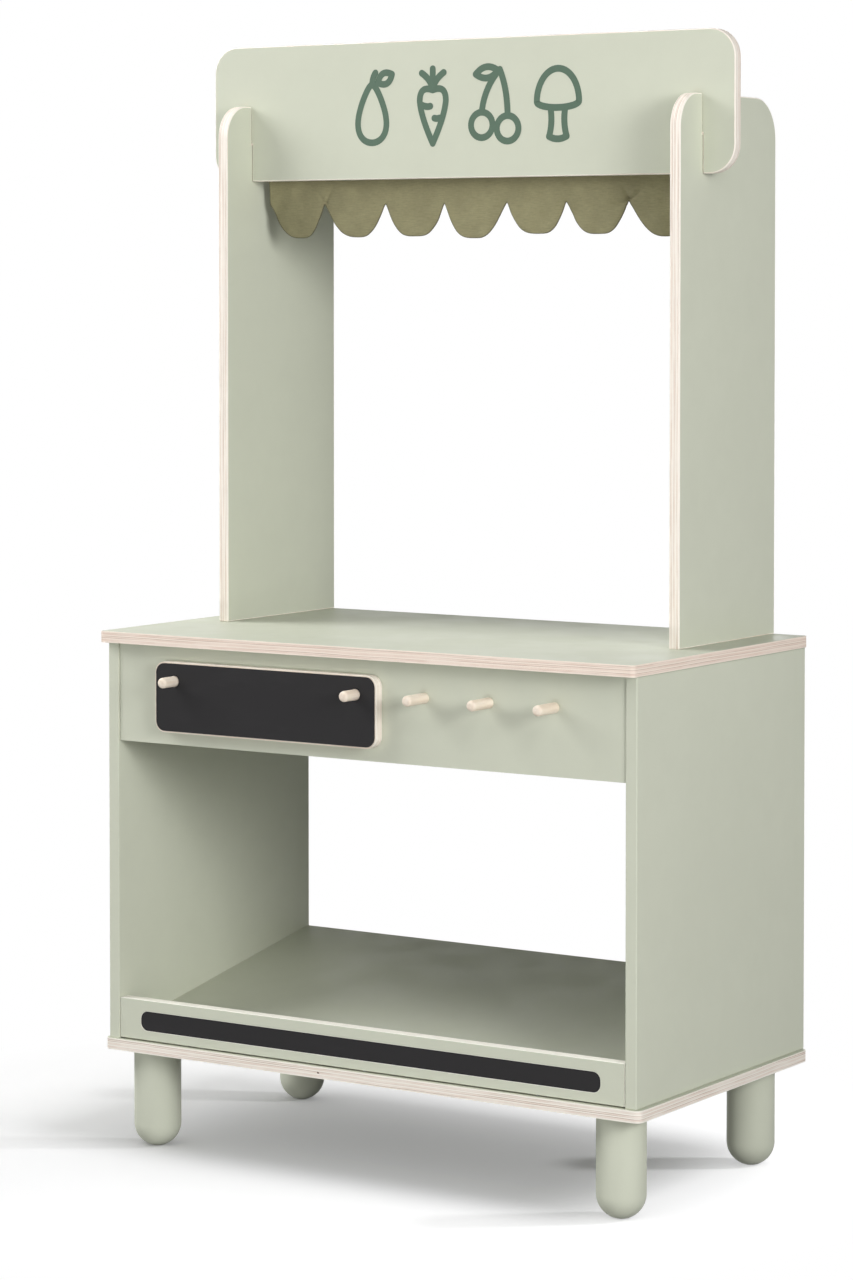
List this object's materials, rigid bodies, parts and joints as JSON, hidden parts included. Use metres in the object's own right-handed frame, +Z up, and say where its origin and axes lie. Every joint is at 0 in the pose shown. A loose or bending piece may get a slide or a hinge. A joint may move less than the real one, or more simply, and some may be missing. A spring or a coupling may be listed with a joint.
{
  "type": "toy market stall",
  "caption": "Child-height play market stall: slanted display bay under a counter, pegs with a hung chalkboard, and a header board with a scalloped valance on two uprights.",
  "frame": {"origin": "on the floor, under the middle of the stall's box", "axes": "+X to the right of someone facing the front, +Y to the back, +Z up"},
  "size_m": [0.654, 0.383, 1.172],
  "materials": {
    "sage_panel": "satin sage paint on plywood, clear raw ply edges",
    "birch": "clear matt lacquer on birch",
    "chalk_black": "matt black chalk coating",
    "olive_cotton": "doubled plain-weave cotton",
    "black_tape": "woven hook tape",
    "zinc_steel": "zinc plated"
  },
  "bodies": {
    "stall": {"base_plate": "sage_panel", "left_side": "sage_panel", "right_side": "sage_panel", "counter_top": "sage_panel", "front_fascia": "sage_panel", "front_lip": "sage_panel", "lip_chalk_strip": "chalk_black", "display_shelf": "sage_panel", "peg_1": "birch", "peg_2": "birch", "peg_3": "birch", "peg_4": "birch", "peg_5": "birch", "left_upright": "sage_panel", "right_upright": "sage_panel", "leg_front_left": "sage_panel", "leg_front_right": "sage_panel", "leg_rear_left": "sage_panel", "leg_rear_right": "sage_panel", "leg_bolts": "zinc_steel", "leg_tee_nuts": "zinc_steel", "carcass_dowels": "birch", "fascia_dowels": "birch", "lip_dowels": "birch", "shelf_dowels": "birch", "upright_dowels": "birch", "base_screws": "zinc_steel", "upright_screws": "zinc_steel", "cam_bolts": "zinc_steel", "cam_discs": "zinc_steel"},
    "chalkboard": {"chalkboard_panel": "birch", "chalkboard_face": "chalk_black"},
    "header": {"header_board": "sage_panel", "hook_tape": "black_tape", "loop_tape": "olive_cotton", "valance_heading": "olive_cotton"},
    "valance": {"valance_skirt": "olive_cotton"}
  },
  "joints": [
    {"name": "chalkboard_pull", "type": "slide", "parent": "stall", "child": "chalkboard", "axis": [0, -1, 0], "range_m": [0, 0.045]},
    {"name": "header_lift", "type": "slide", "parent": "stall", "child": "header", "axis": [0, 0, 1], "range_m": [0, 0.06]},
    {"name": "valance_swing", "type": "hinge", "parent": "header", "child": "valance", "pos_m": [0, 0.0504, 1.023], "axis": [1, 0, 0], "range_deg": [-60, 60]}
  ]
}
